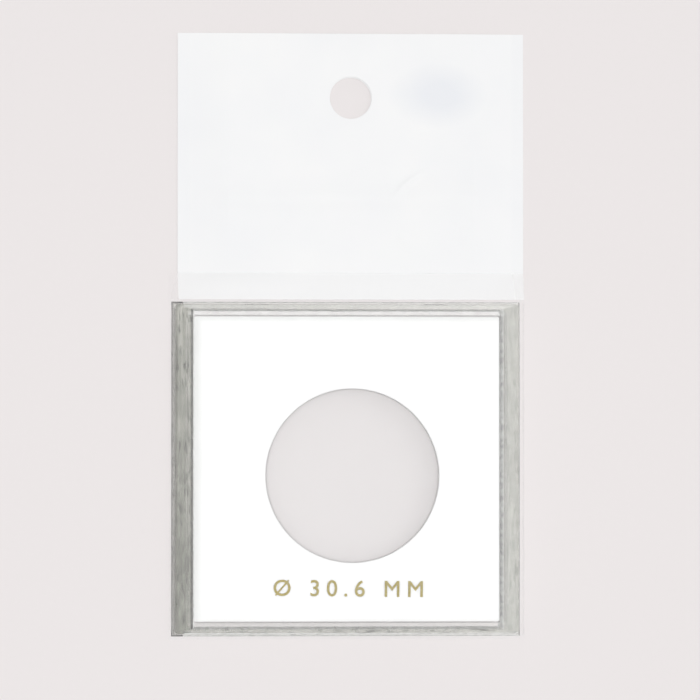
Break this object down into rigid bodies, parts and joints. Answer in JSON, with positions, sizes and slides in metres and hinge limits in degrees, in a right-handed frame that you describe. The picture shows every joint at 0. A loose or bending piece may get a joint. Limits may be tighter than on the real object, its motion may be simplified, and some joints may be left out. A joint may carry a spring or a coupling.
{
  "type": "coin holder",
  "caption": "Flat square clear snap-together case with a white insert that holds one coin in a round hole, in a clear film bag with a white hang header.",
  "frame": {"origin": "middle of the holder's outline, on the surface that the bag lies on", "axes": "+Z out of the holder's face, +Y from the holder to the hang header, +X to the right as seen from the front"},
  "size_m": [0.0634, 0.1081, 0.0069],
  "materials": {
    "clear_shell": "clear, polished windows",
    "white_insert": "satin white",
    "clear_film": "clear film",
    "white_film": "white printed film"
  },
  "bodies": {
    "holder": {"tray": "clear_shell", "coin_insert": "white_insert"},
    "cover": {"front_cover": "clear_shell"},
    "bag": {"bag_front_film": "clear_film", "bag_back_film": "clear_film", "bag_header": "white_film"}
  },
  "joints": [
    {"name": "cover_lift", "type": "slide", "parent": "holder", "child": "cover", "axis": [0, 0, 1], "range_m": [0, 0.04], "deforming": ["bag_front_film"]},
    {"name": "bag_slide", "type": "slide", "parent": "holder", "child": "bag", "axis": [0, 1, 0], "range_m": [0, 0.066]}
  ]
}
